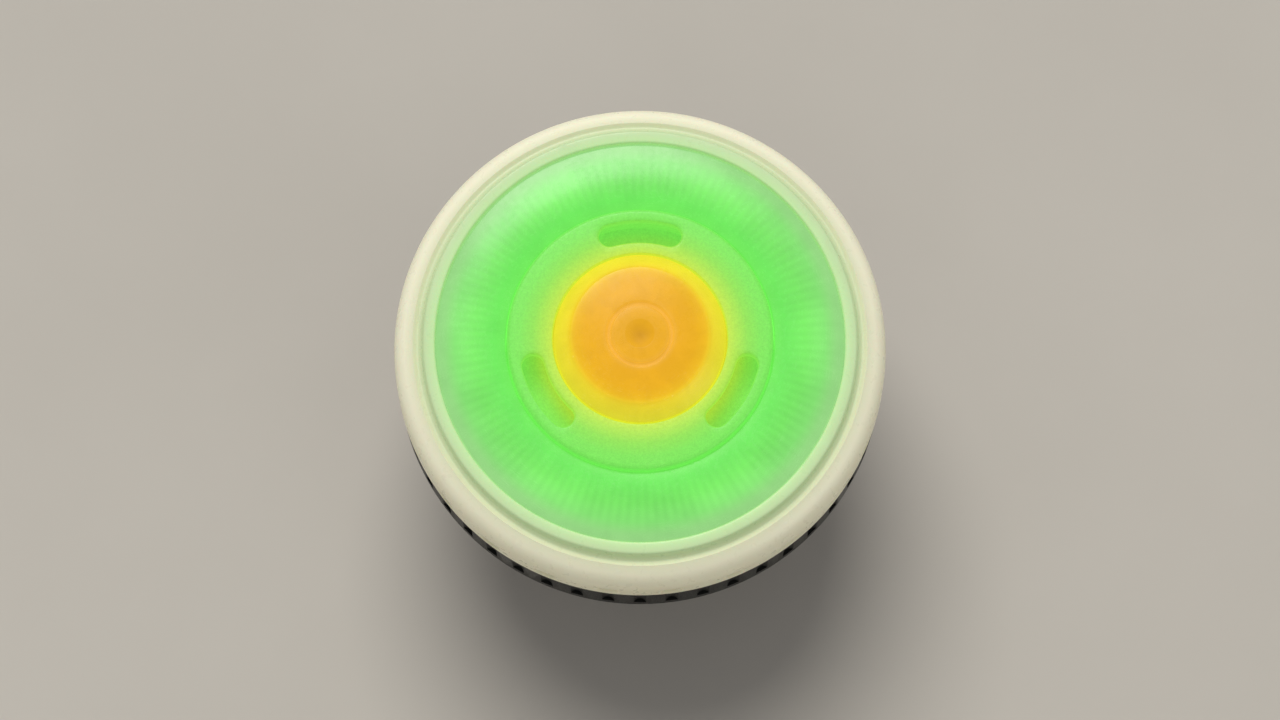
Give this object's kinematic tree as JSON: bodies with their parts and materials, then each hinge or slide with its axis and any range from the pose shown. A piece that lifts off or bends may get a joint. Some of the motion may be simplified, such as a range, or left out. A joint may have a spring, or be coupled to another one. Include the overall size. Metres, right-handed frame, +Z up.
{
  "type": "light up spinning top",
  "caption": "Battling spinning top with a lit amber hub and green lens ring, a cream rim, a twist-lock lower body with a metal weight disc, and a free flat tip.",
  "frame": {"origin": "centre of the tip's flat face, on the spin axis, where the top meets the ground", "axes": "+Z up along the spin axis; +Y through the middle of one launcher slot, along the centrifugal switch"},
  "size_m": [0.046, 0.046, 0.036],
  "materials": {
    "cream_plastic": "satin",
    "green_lens": "gloss",
    "frosted_lime": "satin",
    "amber_lens": "gloss",
    "white_plastic": "matte",
    "black_plastic": "satin",
    "grey_plastic": "satin",
    "tip_plastic": "satin",
    "circuit_board": "satin",
    "lamp_body": "satin",
    "chip_body": "matte",
    "resistor_body": "satin",
    "zinc": "satin",
    "steel": "satin",
    "brass": "satin"
  },
  "bodies": {
    "upper": {"upper_shell": "cream_plastic", "lens_ring": "green_lens", "launcher_ring": "frosted_lime", "hub_lens": "amber_lens", "reflector": "white_plastic", "circuit_board": "circuit_board", "green_leds": "lamp_body", "amber_led": "lamp_body", "controller_chip": "chip_body", "resistors": "resistor_body", "button_cells": "steel", "board_contacts": "brass", "cover_contacts": "brass", "switch_sleeve": "brass", "switch_contact": "brass", "switch_spring": "steel", "base_tray": "black_plastic", "case_screws": "steel", "battery_cover": "black_plastic", "cover_screws": "steel"},
    "switch_ball": {"switch_ball": "steel"},
    "driver": {"weight_disc": "zinc", "driver_shell": "black_plastic", "driver_base": "grey_plastic", "driver_screws": "steel", "lock_spring": "steel", "tip_bush": "brass", "thrust_washer": "white_plastic"},
    "plunger": {"lock_plunger": "white_plastic"},
    "tip": {"tip": "tip_plastic", "tip_axle": "steel", "axle_clip": "steel"}
  },
  "joints": [
    {"name": "driver_twist", "type": "hinge", "parent": "upper", "child": "driver", "pos_m": [0, 0, 0.0215], "axis": [0, 0, 1], "range_deg": [0, 60]},
    {"name": "plunger_press", "type": "slide", "parent": "driver", "child": "plunger", "axis": [0, 0, 1], "range_m": [-0.0016, 0], "stiffness_N_per_m": 1500, "springref_m": 0.003, "deforming": ["lock_spring"]},
    {"name": "tip_spin", "type": "hinge", "parent": "driver", "child": "tip", "pos_m": [0, 0, 0.0048], "axis": [0, 0, 1], "continuous": true},
    {"name": "switch_slide", "type": "slide", "parent": "upper", "child": "switch_ball", "axis": [0, 1, 0], "range_m": [0, 0.0015], "stiffness_N_per_m": 2, "deforming": ["switch_spring"]}
  ]
}
